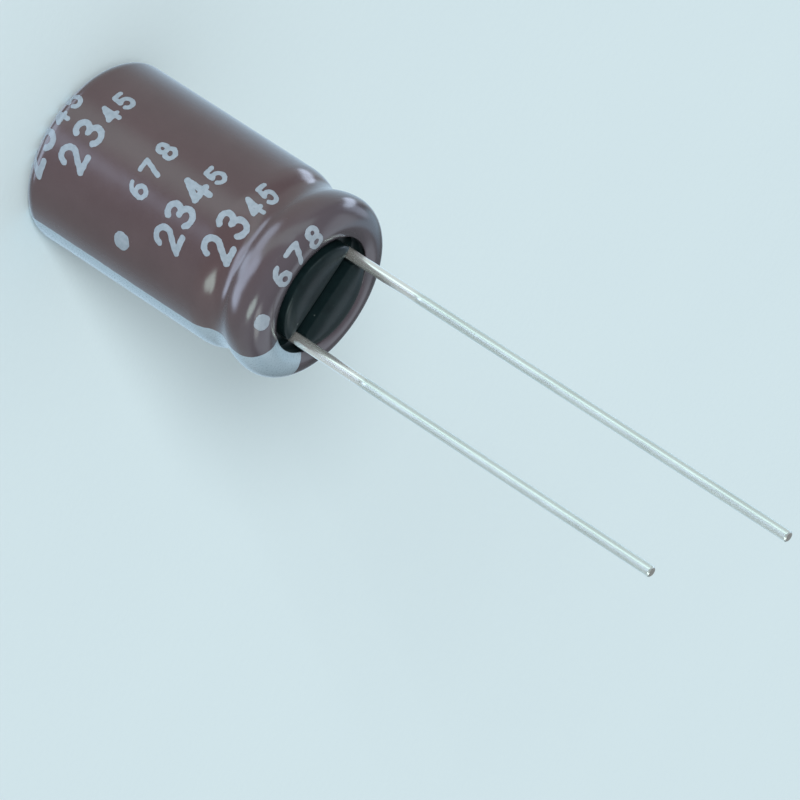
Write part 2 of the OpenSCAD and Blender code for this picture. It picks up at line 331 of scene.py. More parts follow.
def vinylNodes(graph, place):
    share = stripeShare(graph, place)
    cloud = graph.ramp(graph.noise(place, 320.0, detail=4.0, roughness=0.6), 0.3, 0.7)
    grain = graph.noise(place, 9000.0, detail=3.0, roughness=0.6)
    plum = graph.mixColour(cloud * 0.6 + grain * 0.4, sleeve["dark"], sleeve["light"])
    # painted sheen: the vinyl is painted paler and bluer over the lip, standing in for the lip's lighter
    # reflection; stretch is the share of this painted sheen
    x, y, z = graph.splitXyz(place)
    stretch = graph.ramp(z, sleeve["lipSheenFrom"] * mm, sleeve["lipSheenTo"] * mm) * sleeve["lipSheenShare"]
    plum = graph.mixColour(stretch, plum, sleeve["lipSheen"])
    pale = graph.noise(place, 900.0, detail=4.0, roughness=0.6)
    pale = graph.mixColour(pale, sleeve["pale"], sleeve["paleLight"])
    scuff = graph.ramp(graph.noise(place, 1500.0, detail=5.0, roughness=0.7), 0.62, 0.8)
    roughness = graph.ramp(grain, 0.2, 0.8, *sleeve["roughness"]) + scuff * sleeve["scuffRoughness"]
    roughness += share * sleeve["stripeRoughness"]
    height = graph.noise(place, 1900.0, detail=2.0) * (1.0 - share * 0.6) * sleeve["dimples"]
    height += grain * (1.0 - share) * sleeve["grainBump"] + share * sleeve["stripeStep"]
    return graph.mixColour(share, plum, pale), roughness, height, sleeve["bumpDepth"]


vinyl = shaped("plumVinyl", vinylNodes, **{"IOR": 1.53, "Coat Weight": 0.45, "Coat Roughness": 0.12})
section = polyline("sleeveSection", [(r * mm, 0, z * mm) for r, z in sleeveSection()[::-1]], True)
sleevePiece = growMesh("shrunk_sleeve", section, latheTree("latheSleeve", vinyl), {
    "Segments": sleeve["segments"], "Middle radius": sleeve["middleRadius"] * mm,
    "Ripple": sleeve["ripple"] * mm, "Ripple scale": sleeve["rippleScale"]})
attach(sleevePiece, "root")
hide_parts("sleeve")
print("sleeve made:", len(sleevePiece.data.polygons), "faces")


# Printed numbers, drawn flat as strokes and wrapped on the sleeve

printing = {
    "lift": 0.012, "skirt": -0.006, "cell": 0.045, "margin": 0.15, "arcRadius": 5.11,
    "dotStub": 0.001, "large": {"height": 1.85, "width": 1.2, "stroke": 0.34},
    "small": {"height": 1.3, "width": 0.84, "stroke": 0.26}, "smallGap": 0.24,
    # the edge's unevenness is a sum of waves, a few of each length
    "wobble": 0.013, "waves": (14.0, 23.0, 38.0), "waveBase": 6.0, "wavesEach": 4, "waveShift": 6.28, "seed": 7,
    "ink": colour(129, 142, 153), "inkLight": colour(143, 155, 166),
    "roughness": (0.3, 0.42), "bumpDepth": 0.004,
}
# text, angle of its first edge, path length at its middle, how many signs are large,
# local radius over the arc radius, gap between large signs
printRows = [
    ("2345", -55.0, 1.35, 2, 1.0, 0.3),
    ("2345", -71.0, 3.62, 2, 1.0, 0.33),
    ("678", -78.0, 7.8, 0, 1.0, 0.38),
    ("2345", -62.0, 10.6, 3, 1.0, 0.2),
    ("2345", -72.0, 13.36, 2, 1.0, 0.33),
    ("678", -79.0, 17.42, 0, 0.76, 0.3),
]
# angle, path length, radius, local radius over the arc radius
printDots = [(-51.0, 8.0, 0.5, 1.0), (-52.0, 17.35, 0.42, 0.76)]


def curveStroke(cx, cy, rx, ry, start, end, steps=14):
    return [(cx + rx * math.cos(a), cy + ry * math.sin(a)) for a in np.radians(np.linspace(start, end, steps))]


# centre lines of each sign in a box 1 wide and 1 high
numerals = {
    "2": [curveStroke(0.5, 0.7, 0.5, 0.3, 170, -30) + [(0.0, 0.0), (1.0, 0.0)]],
    "3": [curveStroke(0.45, 0.76, 0.45, 0.24, 150, -90), curveStroke(0.47, 0.27, 0.52, 0.27, 90, -150)],
    "4": [[(0.72, 0.0), (0.72, 1.0), (0.0, 0.3), (1.0, 0.3)]],
    "5": [[(0.92, 1.0), (0.16, 1.0), (0.08, 0.56)] + curveStroke(0.47, 0.32, 0.5, 0.32, 140, -155)],
    "6": [curveStroke(0.5, 0.3, 0.48, 0.3, 0, 360, 24), curveStroke(0.95, 0.35, 0.93, 0.65, 180, 100)],
    "7": [[(0.0, 1.0), (1.0, 1.0), (0.36, 0.0)]],
    "8": [curveStroke(0.5, 0.76, 0.4, 0.24, 0, 360, 22), curveStroke(0.5, 0.27, 0.5, 0.27, 0, 360, 24)],
}


def strokeDistance(x, y, strokes):
    # distance of each grid point from the nearest stroke
    best = np.full(x.shape, 1e9)
    for line in strokes:
        for (ax, ay), (bx, by) in zip(line[:-1], line[1:]):
            dx, dy = bx - ax, by - ay
            share = np.clip(((x - ax) * dx + (y - ay) * dy) / (dx * dx + dy * dy + 1e-12), 0, 1)
            best = np.minimum(best, np.hypot(x - ax - share * dx, y - ay - share * dy))
    return best


def inkPatch(strokes, halfStroke, random):
    # flat mesh of one printed sign, cut along the stroke's slightly uneven edge, with a thin skirt below it
    flat = np.array([p for line in strokes for p in line])
    low, high = flat.min(0) - halfStroke - printing["margin"], flat.max(0) + halfStroke + printing["margin"]
    xs = np.arange(low[0], high[0], printing["cell"])
    ys = np.arange(low[1], high[1], printing["cell"])
    x, y = np.meshgrid(xs, ys, indexing="ij")
    field = halfStroke - strokeDistance(x, y, strokes)
    for size in printing["waves"]:
        for _ in range(printing["wavesEach"]):
            turn, shift = random.uniform(0, math.pi), random.uniform(0, printing["waveShift"])
            along = x * math.cos(turn) + y * math.sin(turn)
            field += printing["wobble"] * printing["waveBase"] / size * np.sin(size * along + shift)
    vertices, faces, known = [], [], {}

    def corner(i, j):
        return point(("c", i, j), (xs[i], ys[j]))

    def crossing(a, b):
        # where the field is 0 on the cell's side from a to b
        share = field[a] / (field[a] - field[b])
        place = [(1 - share) * line[i] + share * line[j] for line, i, j in ((xs, a[0], b[0]), (ys, a[1], b[1]))]
        return point((min(a, b), max(a, b)), tuple(place))

    def point(key, place):
        if key not in known:
            known[key] = len(vertices)
            vertices.append(place)
        return known[key]

    for i in range(len(xs) - 1):
        for j in range(len(ys) - 1):
            cell = [(i, j), (i + 1, j), (i + 1, j + 1), (i, j + 1)]
            inside = [field[c] > 0 for c in cell]
            if not any(inside):
                continue
            face = []
            for k in range(4):
                if inside[k]:
                    face.append(corner(*cell[k]))
                if inside[k] != inside[(k + 1) % 4]:
                    face.append(crossing(cell[k], cell[(k + 1) % 4]))
            if len(face) > 2:
                faces.append(face)
    return vertices, faces


def addSkirt(vertices, faces):
    # the open edge is carried down just below the sleeve's surface
    used = dict.fromkeys(edge for face in faces for edge in zip(face, face[1:] + face[:1]))
    rim = [(a, b) for (a, b) in used if (b, a) not in used]
    below = {}
    full = [(x, y, printing["lift"]) for x, y in vertices]
    for a, b in rim:
        for v in (a, b):
            if v not in below:
                below[v] = len(full)
                full.append((vertices[v][0], vertices[v][1], printing["skirt"]))
    return full, faces + [[b, a, below[a], below[b]] for a, b in rim]


def printSheet():
    random = np.random.default_rng(printing["seed"])
    allVertices, allFaces = [], []
    radius = printing["arcRadius"]

    def place(strokes, halfStroke, left, middle, squeeze):
        vertices, faces = addSkirt(*inkPatch(strokes, halfStroke, random))
        start = len(allVertices)
        allVertices.extend(((left + x / squeeze) * mm, (middle - y) * mm, h * mm) for x, y, h in vertices)
        allFaces.extend([start + v for v in face] for face in faces)

    for text, angle, middle, largeCount, squeeze, gap in printRows:
        left = -math.radians(angle) * radius
        tallest = printing["large" if largeCount else "small"]["height"]
        for i, sign in enumerate(text):
            isLarge = i < largeCount
            size = printing["large" if isLarge else "small"]
            half = size["stroke"] / 2
            across, up = size["width"] - size["stroke"], size["height"] - size["stroke"]
            strokes = [[(half + px * across, -tallest / 2 + half + py * up) for px, py in line]
                       for line in numerals[sign]]
            place(strokes, half, left, middle, squeeze)
            left += (size["width"] + (gap if isLarge or not largeCount else printing["smallGap"])) / squeeze
    stub = printing["dotStub"]
    for angle, middle, dotRadius, squeeze in printDots:
        place([[(-stub, 0.0), (stub, 0.0)]], dotRadius, -math.radians(angle) * radius, middle, squeeze)
    mesh = bpy.data.meshes.new("printSheet")
    mesh.from_pydata(allVertices, [], allFaces)
    return newObject("printSheet", mesh)


def wrapTree(name, material):
    # lays a flat sheet, with X round the sleeve, Y along its section and Z off its surface
    graph, given = geometryTree(name, {"Section": "Object", "Arc radius": "Float", "Ripple": "Float",
                                       "Ripple scale": "Float"})
    line = graph.add("GeometryNodeObjectInfo", inputs={"Object": given["Section"]}, out="Geometry")
    line = graph.add("GeometryNodeMeshToCurve", inputs={0: line})
    x, y, z = graph.splitXyz(graph.add("GeometryNodeInputPosition"))
    sample = graph.node("GeometryNodeSampleCurve", {"mode": "LENGTH", "use_all_curves": True},
                        {"Curves": line, "Length": y})
    spot = graph.splitXyz(Wire(graph, sample.outputs["Position"]))
    way = graph.splitXyz(Wire(graph, sample.outputs["Tangent"]))
    radius = spot[0] + way[2] * z
    height = spot[2] - way[0] * z
    angle = x / given["Arc radius"] * -1.0
    place = graph.joinXyz(radius * angle.calc("COSINE"), radius * angle.calc("SINE"), height)
    laid = graph.add("GeometryNodeSetPosition", inputs={"Geometry": given["Geometry"], "Position": place})
    laid = addRipple(graph, laid, given["Ripple"], given["Ripple scale"])
    return finishTree(graph, laid, material)


def inkNodes(graph, place):
    tone = graph.ramp(graph.noise(place, 4200.0, detail=4.0, roughness=0.7), 0.3, 0.7)
    base = graph.mixColour(tone, printing["ink"], printing["inkLight"])
    grain = graph.noise(place, 9000.0, detail=2.0)
    return base, graph.ramp(tone, 0.0, 1.0, *printing["roughness"]), grain, printing["bumpDepth"]


printInk = shaped("printInk", inkNodes, **{"IOR": 1.5, "Coat Weight": 0.1})
outerLine = polyline("sleeveOuterLine", [(r * mm, 0, z * mm) for r, z in sleeveOuterLine()], False)
numbers = growMesh("printed_numbers", printSheet(), wrapTree("wrapPrint", printInk), {
    "Section": outerLine, "Arc radius": printing["arcRadius"] * mm,
    "Ripple": sleeve["ripple"] * mm, "Ripple scale": sleeve["rippleScale"]})
bpy.data.objects.remove(outerLine)
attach(numbers, "root")
print("print made:", len(numbers.data.polygons), "faces")


# Rubber bung with its two half-moon pads

bung = {
    "innerZ": 12.0, "faceZ": 15.35, "faceRadius": 3.35, "faceRings": (3.2, 2.6, 1.4), "axisRadius": 0.02,
    "gap": 0.29, "grooveRadius": 0.35, "curlEnd": 104.0, "innerEase": 0.05, "rimSag": 0.03, "segments": 192,
    "padZ": 16.4, "padRadius": 2.92, "outerRound": 1.05, "outerDrop": 0.42, "padFeet": (15.2, 15.5, 15.75),
    "padMiddle": 1.75, "padSegments": 288, "padSteps": 14, "padFill": (0.8, 0.55, 0.3, 0.1),
    "channelHalf": 0.6, "chordRound": 1.2, "chordDrop": 0.45, "chordReach": 0.5, "chordPower": 0.7,
    "cornerBlend": 0.16, "farthest": 4.0, "halvings": 40,
    "pocketRadius": 0.75, "pocketZ": 15.05, "leadX": 2.5, "wireHole": 0.31, "shankHole": 0.66, "weldZ": 14.4,
    "holeFrom": 11.0, "holeTo": 17.5, "holeSegments": 96,
    "mergeGap": 0.0004, "slimmest": 0.0002, "sharpAngle": 32.0,
    "dark": colour(10, 21, 23), "light": colour(18, 31, 33), "dust": colour(120, 132, 130), "dustShare": 0.6,
    "roughness": (0.27, 0.36), "dustRoughness": 0.2, "bumpDepth": 0.012,
}


def shellMesh(name, rings):
    # closed mesh through rings of points, with a pole at each end
    rings = np.asarray(rings)
    count, around = rings.shape[:2]
    vertices = [tuple(p) for ring in rings for p in ring]
    faces = []
    for i in range(count - 1):
        for j in range(around):
            k = (j + 1) % around
            faces.append((i * around + j, i * around + k, (i + 1) * around + k, (i + 1) * around + j))
    for row, turn in ((0, -1), (count - 1, 1)):
        pole = len(vertices)
        vertices.append(tuple(rings[row].mean(0)))
        ring = [row * around + j for j in range(around)]
        for a, b in zip(ring, ring[1:] + ring[:1]):
            faces.append((a, b, pole) if turn > 0 else (b, a, pole))
    mesh = bpy.data.meshes.new(name)
    mesh.from_pydata(vertices, [], faces)
    return newObject(name, mesh)


def lathed(name, section, segments):
    turns = np.linspace(0, 2 * math.pi, segments, endpoint=False)
    return shellMesh(name, [[(r * math.cos(a), r * math.sin(a), z) for a in turns] for r, z in section])


def bungBody():
    line = wallSection(-bung["gap"], bung["grooveRadius"], bung["curlEnd"])
    line = [p for p in line if p[1] > bung["innerZ"]]
    section = [(bung["axisRadius"], bung["innerZ"]), (line[0][0] - bung["innerEase"], bung["innerZ"])] + line
    lip, face = np.array(line[-1]), np.array([bung["faceRadius"], bung["faceZ"]])
    for share in (0.3, 0.6, 0.85, 1.0):  # the rubber sags a little between the lip and the face
        sag = np.array([0.0, -bung["rimSag"]]) * math.sin(math.pi * share)
        section.append(tuple(lip + (face - lip) * share + sag))
    section += [(r, bung["faceZ"]) for r in (*bung["faceRings"], bung["axisRadius"])]
    return lathed("bungBody", section, bung["segments"])


def padOutline(rays, middle, outerIn, chordIn):
    # where each ray from the pad's middle meets its half-moon edge, found by halving
    low, high = np.zeros(len(rays)), np.full(len(rays), bung["farthest"])
    for _ in range(bung["halvings"]):
        reach = (low + high) / 2
        p = middle + rays * reach[:, None]
        disc = np.hypot(p[:, 0], p[:, 1]) - (bung["padRadius"] - outerIn)
        chord = bung["channelHalf"] + chordIn - p[:, 1]
        outside = (disc + chord + np.sqrt((disc - chord) ** 2 + bung["cornerBlend"] ** 2)) / 2 > 0
        high = np.where(outside, reach, high)
        low = np.where(outside, low, reach)
    return middle + rays * low[:, None]


def padShell(side):
    # rings of a half-moon that shrink inwards over its rounded top edge
    turns = np.radians(np.linspace(0, 360, bung["padSegments"], endpoint=False))
    rays, middle = np.stack([np.cos(turns), np.sin(turns)], 1), np.array([0.0, bung["padMiddle"]])
    rings = [[(x, y, z) for x, y in padOutline(rays, middle, 0, 0)] for z in bung["padFeet"]]
    for i in range(bung["padSteps"] + 1):
        a = math.pi / 2 * i / bung["padSteps"]
        inset = 1 - math.cos(a)
        chordEdge = bung["channelHalf"] + bung["chordRound"] * inset
        edge = padOutline(rays, middle, bung["outerRound"] * inset, bung["chordRound"] * inset)
        # 0 along the channel and 1 on the outer edge
        outer = np.clip((edge[:, 1] - chordEdge) / bung["chordReach"], 0, 1) ** bung["chordPower"]
        drop = bung["chordDrop"] + (bung["outerDrop"] - bung["chordDrop"]) * outer
        rings.append([(x, y, bung["padZ"] - d * (1 - math.sin(a))) for (x, y), d in zip(edge, drop)])
    top = np.array(rings[-1])
    centre = top.mean(0)
    rings += [centre + (top - centre) * share for share in bung["padFill"]]
    rings = np.array(rings)
    if side < 0:
        rings[:, :, :2] *= -1  # half a turn about the axis keeps the faces outward
    return shellMesh("pad", rings)


def leadHole(x):
    # shank hole, wire hole and pocket in one stepped round tool
    turns = np.linspace(0, 2 * math.pi, bung["holeSegments"], endpoint=False)
    steps = [(bung["shankHole"], bung["holeFrom"]), (bung["shankHole"], bung["weldZ"]),
             (bung["wireHole"], bung["weldZ"]), (bung["wireHole"], bung["pocketZ"]),
             (bung["pocketRadius"], bung["pocketZ"]), (bung["pocketRadius"], bung["holeTo"])]
    return shellMesh("leadHole", [[(x + r * math.cos(a), r * math.sin(a), z) for a in turns] for r, z in steps])


def carve(base, tool, operation):
    modifier = base.modifiers.new("carve", "BOOLEAN")
    modifier.object = tool
    modifier.operation = operation
    modifier.solver = "EXACT"
    bpy.context.view_layer.update()
    mesh = bpy.data.meshes.new_from_object(base.evaluated_get(bpy.context.evaluated_depsgraph_get()))
    name = base.name
    bpy.data.objects.remove(base)
    bpy.data.objects.remove(tool)
    return newObject(name, mesh)


def bungNodes(graph, place):
    cloud = graph.noise(place, 700.0, detail=4.0, roughness=0.6)
    grain = graph.noise(place, 14000.0, detail=4.0, roughness=0.7)
    base = graph.mixColour(graph.ramp(cloud, 0.3, 0.7), bung["dark"], bung["light"])
    speck = graph.add("ShaderNodeTexVoronoi", inputs={"Vector": place, "Scale": 2300.0, "Randomness": 1.0})
    chosen = graph.ramp(graph.noise(place, 1500.0, detail=2.0), 0.54, 0.6)
    dust = graph.ramp(speck, 0.07, 0.12, 1.0, 0.0) * chosen
    base = graph.mixColour(dust * bung["dustShare"], base, bung["dust"])
    roughness = graph.ramp(grain, 0.2, 0.8, *bung["roughness"]) + dust * bung["dustRoughness"]
    return base, roughness, grain * 0.35 + cloud * 0.8, bung["bumpDepth"]


rubber = shaped("bungRubber", bungNodes, **{"IOR": 1.45, "Specular IOR Level": 0.4})
bungPiece = bungBody()
for side in (1, -1):
    bungPiece = carve(bungPiece, padShell(side), "UNION")
for side in (1, -1):
    bungPiece = carve(bungPiece, leadHole(side * bung["leadX"]), "DIFFERENCE")
bungPiece.name = "rubber_bung"
seams = bmesh.new()
seams.from_mesh(bungPiece.data)
bmesh.ops.remove_doubles(seams, verts=seams.verts, dist=bung["mergeGap"])
bmesh.ops.dissolve_degenerate(seams, edges=seams.edges, dist=bung["slimmest"])
seams.to_mesh(bungPiece.data)
seams.free()
bungPiece.data.transform(Matrix.Scale(mm, 4))
bungPiece.data.shade_smooth()
bungPiece.data.set_sharp_from_angle(angle=math.radians(bung["sharpAngle"]))
bungPiece.data.materials.clear()
bungPiece.data.materials.append(rubber)
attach(bungPiece, "root")
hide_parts("bung")
print("bung made:", len(bungPiece.data.polygons), "faces")


# Tinned wire leads with the mark that the gripping jaws left

leads = {
    "startZ": 14.4, "wireRadius": 0.3, "sides": 40, "step": 0.05,
    "gripZ": 20.6, "gripHalf": 0.275, "gripDepth": 0.008,
    "dent": 0.0025, "dentScale": 480.0, "dentStretch": 0.35,
    # the cut end is eased over its last rows, given as distances below the top
    "tipLength": 0.07, "tipShare": 0.24, "tipRows": (0.07, 0.05, 0.03, 0.01, 0.0), "tipFrom": 0.08,
    "dark": colour(208, 220, 214), "light": colour(228, 237, 231), "bare": colour(150, 120, 100),
    "bareDepth": 0.02, "bareShare": 0.7,
    # brighter and smoother below the grip mark, duller past it
    "bright": colour(250, 253, 249), "dullFrom": 19.9, "dullTo": 20.9, "dullShare": 0.8, "smoother": 0.08,
    "roughness": (0.24, 0.28), "patchRoughness": 0.05, "bumpDepth": 0.0015,
    # piece, the solid it replaces, its place in x, the height of its cut end, shift of its dents
    "items": [("long_lead", "anode_lead", -2.5, 44.3, 3.0), ("short_lead", "cathode_lead", 2.5, 39.3, 11.0)],
}


def leadTree(name, material):
    # a round wire along a straight run, thinner at the grip mark, with small dents along it
    graph, given = geometryTree(name, {
        "Wire radius": "Float", "Sides": "Int", "Grip height": "Float", "Grip half width": "Float",
        "Grip depth": "Float", "Tip height": "Float", "Dent": "Float", "Dent scale": "Float",
        "Seed shift": "Float"})
    x, y, z = graph.splitXyz(graph.add("GeometryNodeInputPosition"))
    off = (z - given["Grip height"]).calc("ABSOLUTE")
    pinch = graph.ramp(off, 0.0, given["Grip half width"], given["Grip depth"], 0.0)
    tip = graph.ramp(given["Tip height"] - z, 0.0, leads["tipLength"] * mm, leads["tipShare"], 0.0)
    run = graph.add("GeometryNodeMeshToCurve", inputs={0: given["Geometry"]})
    run = graph.add("GeometryNodeSetCurveRadius", inputs={
        "Curve": run, "Radius": 1.0 - pinch / given["Wire radius"] - tip})
    ring = graph.add("GeometryNodeCurvePrimitiveCircle", inputs={
        "Resolution": given["Sides"], "Radius": given["Wire radius"]})
    wire = graph.add("GeometryNodeCurveToMesh", inputs={
        0: run, 1: ring, "Scale": graph.add("GeometryNodeInputRadius"), "Fill Caps": True})
    px, py, pz = graph.splitXyz(graph.add("GeometryNodeInputPosition"))
    spot = graph.joinXyz(px, py, pz * leads["dentStretch"] + given["Seed shift"])
    dent = graph.ramp(graph.noise(spot, given["Dent scale"], detail=2.0), 0.58, 0.75)
    normal = graph.add("GeometryNodeInputNormal")
    dented = pushAlong(graph, wire, normal, dent * given["Dent"] * -1.0)
    return finishTree(graph, dented, material)


def wireNodes(graph, place):
    x, y, z = graph.splitXyz(place)
    lines = graph.noise(graph.stretch(place, 1.0, 1.0, 0.02), 16000.0, detail=4.0, roughness=0.7)
    patches = graph.noise(graph.stretch(place, 1.0, 1.0, 0.2), 1100.0, detail=2.0)
    patches = graph.ramp(patches, 0.3, 0.7)
    base = graph.mixColour(patches * 0.7 + lines * 0.3, leads["dark"], leads["light"])
    # the bare core shows on both cut ends
    longEnd, shortEnd = (graph.ramp(z, (item[3] - leads["bareDepth"]) * mm, item[3] * mm)
                         for item in leads["items"])
    ends = (longEnd + shortEnd * graph.ramp(x, 0.0, mm)).calc("MINIMUM", 1.0)
    base = graph.mixColour(ends * leads["bareShare"], base, leads["bare"])
    dull = graph.ramp(z, leads["dullFrom"] * mm, leads["dullTo"] * mm)
    base = graph.mixColour(dull * leads["dullShare"], leads["bright"], base)
    roughness = graph.ramp(lines, 0.3, 0.7, *leads["roughness"]) + patches * leads["patchRoughness"]
    roughness -= (1.0 - dull) * leads["smoother"]
    return base, roughness, lines * 0.1 + patches * 0.5, leads["bumpDepth"]


tin = shaped("tinnedWire", wireNodes, **{"Metallic": 0.85})
wireTree = leadTree("drawLead", tin)
for name, node, x, top, shift in leads["items"]:
    heights = list(np.arange(leads["startZ"], top - leads["tipFrom"], leads["step"]))
    heights += [top - below for below in leads["tipRows"]]
    run = polyline(name + "Run", [(x * mm, 0, z * mm) for z in heights], False)
    wirePiece = growMesh(name, run, wireTree, {
        "Wire radius": leads["wireRadius"] * mm, "Sides": leads["sides"],
        "Grip height": leads["gripZ"] * mm, "Grip half width": leads["gripHalf"] * mm,
        "Grip depth": leads["gripDepth"] * mm, "Tip height": top * mm,
        "Dent": leads["dent"] * mm, "Dent scale": leads["dentScale"], "Seed shift": shift * mm})
    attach(wirePiece, "root")
    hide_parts(node)
    print(name, "made:", len(wirePiece.data.polygons), "faces")


# Finishes of the solids that stay as they are

# a dark and a light colour, the range of roughness and the bump depth of each
finishes = {
    "drawn": (colour(206, 208, 210), colour(230, 232, 233)), "drawnRoughness": (0.28, 0.42),
    "drawnDepth": 0.004,
    "tab": (colour(196, 199, 203), colour(222, 224, 227)), "tabRoughness": (0.3, 0.45),
    "etched": (colour(138, 140, 144), colour(168, 170, 174)), "etchedRoughness": (0.6, 0.8),
    "plain": (colour(186, 189, 194), colour(212, 214, 218)), "plainRoughness": (0.34, 0.5), "foilDepth": 0.003,
    "paper": (colour(196, 178, 140), colour(226, 212, 178)), "paperRoughness": (0.6, 0.8), "paperDepth": 0.01,
    "tape": (colour(212, 190, 118), colour(226, 208, 146)), "tapeRoughness": (0.25, 0.4), "tapeDepth": 0.004,
}


def canNodes(graph, place):
    # fine rings round the axis, as drawing leaves them
    x, y, z = graph.splitXyz(place)
    turned = graph.joinXyz((x * x + y * y).calc("SQRT"), 0.0, z * 0.2)
    rings = graph.noise(turned, 9000.0, detail=3.0, roughness=0.6)
    cloud = graph.noise(place, 600.0, detail=3.0)
    base = graph.mixColour(cloud * 0.5 + rings * 0.5, *finishes["drawn"])
    return base, graph.ramp(rings, 0.2, 0.8, *finishes["drawnRoughness"]), rings, finishes["drawnDepth"]


def foilNodes(name):
    def build(graph, place):
        lines = graph.noise(graph.stretch(place, 0.05, 0.05, 1.0), 15000.0, detail=3.0, roughness=0.6)
        pits = graph.noise(place, 26000.0, detail=3.0, roughness=0.7)
        base = graph.mixColour(lines * 0.5 + pits * 0.5, *finishes[name])
        roughness = graph.ramp(pits, 0.2, 0.8, *finishes[name + "Roughness"])
        return base, roughness, pits * 0.5 + lines * 0.5, finishes["foilDepth"]
    return build


def paperNodes(graph, place):
    fibres = graph.noise(graph.stretch(place, 1.0, 1.0, 0.25), 9000.0, detail=5.0, roughness=0.7)
    cloud = graph.ramp(graph.noise(place, 900.0, detail=4.0), 0.3, 0.7)
    base = graph.mixColour(fibres * 0.6 + cloud * 0.4, *finishes["paper"])
    return base, graph.ramp(cloud, 0.0, 1.0, *finishes["paperRoughness"]), fibres, finishes["paperDepth"]


def tapeNodes(graph, place):
    streak = graph.noise(graph.stretch(place, 0.1, 0.1, 1.0), 7000.0, detail=3.0, roughness=0.6)
    cloud = graph.ramp(graph.noise(place, 1100.0, detail=3.0), 0.3, 0.7)
    base = graph.mixColour(streak * 0.5 + cloud * 0.5, *finishes["tape"])
    return base, graph.ramp(cloud, 0.0, 1.0, *finishes["tapeRoughness"]), streak, finishes["tapeDepth"]


tabMaterial = shaped("tabAluminium", foilNodes("tab"), Metallic=1.0)
paper = shaped("soakedPaper", paperNodes, **{"Coat Weight": 0.3})
keptFinishes = {
    "can": shaped("drawnAluminium", canNodes, Metallic=1.0),
    "anode_tab": tabMaterial,
    "cathode_tab": tabMaterial,
    "anode_foil": shaped("etchedFoil", foilNodes("etched"), Metallic=0.85),
    "cathode_foil": shaped("plainFoil", foilNodes("plain"), Metallic=1.0),
    "inner_paper": paper,
    "outer_paper": paper,
    "winding_tape": shaped("closingTape", tapeNodes, **{"Coat Weight": 0.3}),
}
for node, material in keptFinishes.items():
    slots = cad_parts[node].data.materials
    if len(slots):
        slots[0] = material
    else:
        slots.append(material)
print("kept solids finished:", len(keptFinishes))


# Floor, light and camera

studio = {
    "backdrop": colour(208, 227, 232), "floorDark": colour(213, 232, 238), "floorLight": colour(217, 236, 241),
    "floorRings": (0.01, 0.03, 0.08, 0.16, 0.25, 0.35, 0.5, 0.6), "floorSegments": 96, "floorZ": -0.00002,
    "fadeFrom": 0.25, "fadeTo": 0.5, "floorRoughness": (0.75, 0.85), "floorDepth": 0.01,
    "plain": (0.55, 0.56, 0.57, 1.0), "keyPower": 2.65, "keyAngle": 15.0, "keyFrom": (-0.11, -0.88, 0.46),
    "keyTone": (1.0, 0.985, 0.97),
    # the room that gloss shows, by the direction it is seen in
    "room": (0.26, 0.29, 0.32, 1.0), "roomSide": (0.4, 0.45, 0.48, 1.0), "roomLeft": (0.52, 0.58, 0.6, 1.0),
    "roomBehind": (0.13, 0.16, 0.17, 1.0), "roomBehindLow": (0.63, 0.83, 1.0, 1.0),
    "roomAbove": (0.84, 0.96, 1.08, 1.0),
    # soft lights in it: azimuth and elevation of both ends, full and outer reach in degrees, colour
    "glows": [
        ((-5.0, 5.0), (30.0, -5.0), 8.0, 34.0, (0.55, 0.62, 0.66, 1.0)),
        ((-146.0, 20.0), (-97.0, -44.0), 4.0, 19.0, (0.98, 1.24, 1.26, 1.0)),
        ((-124.0, 21.0), (-114.0, -18.0), 3.0, 12.0, (1.05, 1.3, 1.34, 1.0)),
        ((-125.0, -56.0), (-92.0, -56.0), 6.0, 15.0, (2.3, 2.8, 3.5, 1.0)),
        ((-76.0, -42.0), (-22.0, -49.0), 5.0, 15.0, (2.9, 3.5, 4.5, 1.0)),
        ((-54.0, -60.0), (-60.0, -68.0), 4.0, 15.0, (2.6, 3.2, 4.1, 1.0)),
        ((-37.0, 22.0), (-29.0, 12.0), 5.0, 12.0, (3.8, 4.8, 4.6, 1.0)),
        ((-16.0, 46.0), (14.0, 46.0), 4.0, 12.0, (2.5, 2.75, 2.75, 1.0)),
        ((126.0, 16.0), (146.0, 14.0), 5.0, 13.0, (1.0, 1.2, 1.5, 1.0)),
        ((143.0, -13.0), (151.0, 8.0), 4.0, 9.0, (2.7, 3.2, 4.0, 1.0)),
        ((50.0, -70.0), (105.0, -70.0), 5.0, 16.0, (1.4, 1.65, 2.0, 1.0)),
        ((106.0, 26.0), (116.0, 2.0), 4.0, 14.0, (0.5, 0.72, 0.9, 1.0)),
    ],
}


def floorNodes(graph, place):
    cloud = graph.noise(place, 60.0, detail=3.0)
    grain = graph.noise(place, 2500.0, detail=3.0)
    base = graph.mixColour(cloud * 0.6 + grain * 0.4, studio["floorDark"], studio["floorLight"])
    return base, graph.ramp(grain, 0.2, 0.8, *studio["floorRoughness"]), grain, studio["floorDepth"]


def fadeOut(material):
    # the floor turns clear far from the part, so it has no edge against the backdrop
    graph = Graph(material.node_tree)
    output = [n for n in material.node_tree.nodes if n.type == "OUTPUT_MATERIAL"][0]
    shader = Wire(graph, output.inputs[0].links[0].from_socket)
    place = Wire(graph, [n for n in material.node_tree.nodes if n.type == "TEX_COORD"][0].outputs["Object"])
    fade = graph.ramp(graph.vector("LENGTH", place, out="Value"), studio["fadeFrom"], studio["fadeTo"])
    mixed = graph.add("ShaderNodeMixShader", inputs={
        0: fade, 1: shader, 2: graph.add("ShaderNodeBsdfTransparent")})
    graph.tree.links.new(mixed.socket, output.inputs[0])


